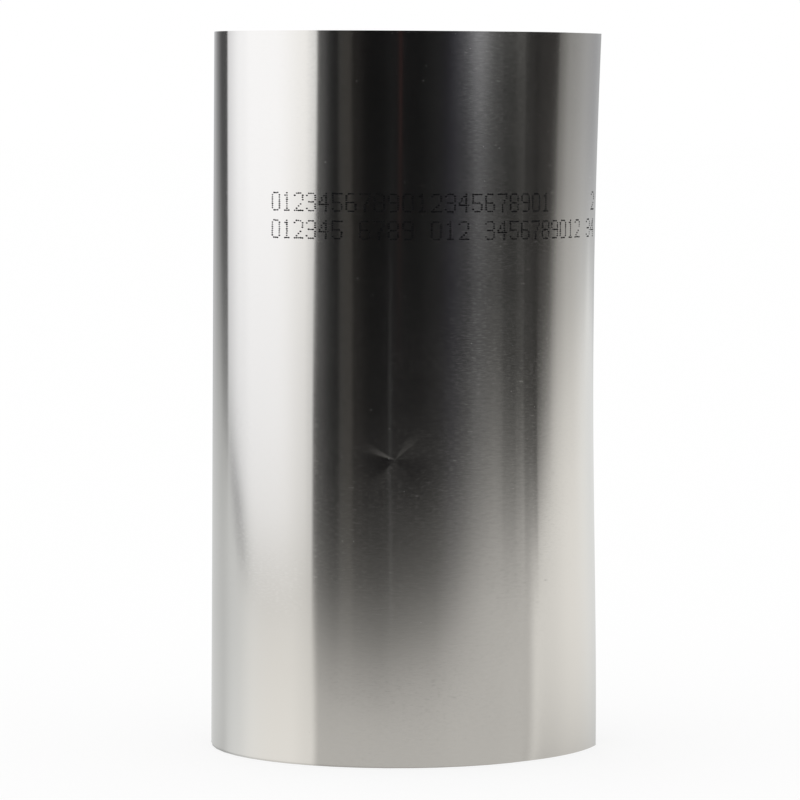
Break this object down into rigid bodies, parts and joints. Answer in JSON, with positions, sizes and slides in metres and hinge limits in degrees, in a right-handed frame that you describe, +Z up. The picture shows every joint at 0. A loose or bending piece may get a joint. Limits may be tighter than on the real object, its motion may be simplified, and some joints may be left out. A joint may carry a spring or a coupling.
{
  "type": "shim stock roll",
  "caption": "Thin bright stainless sheet wound into a loose roll with an open bore and a free outer edge, standing on its end; stock that shims and spacers are cut from.",
  "frame": {"origin": "on the roll's axis, at the end that it stands on", "axes": "+Z up along the roll's axis, -Y the front, +X towards the sheet's loose outer end"},
  "size_m": [0.0812, 0.0784, 0.15],
  "materials": {
    "bright_steel": "bright cold-rolled, fine grain along the sheet"
  },
  "bodies": {
    "root": {"shim_roll": "bright_steel"}
  },
  "joints": []
}
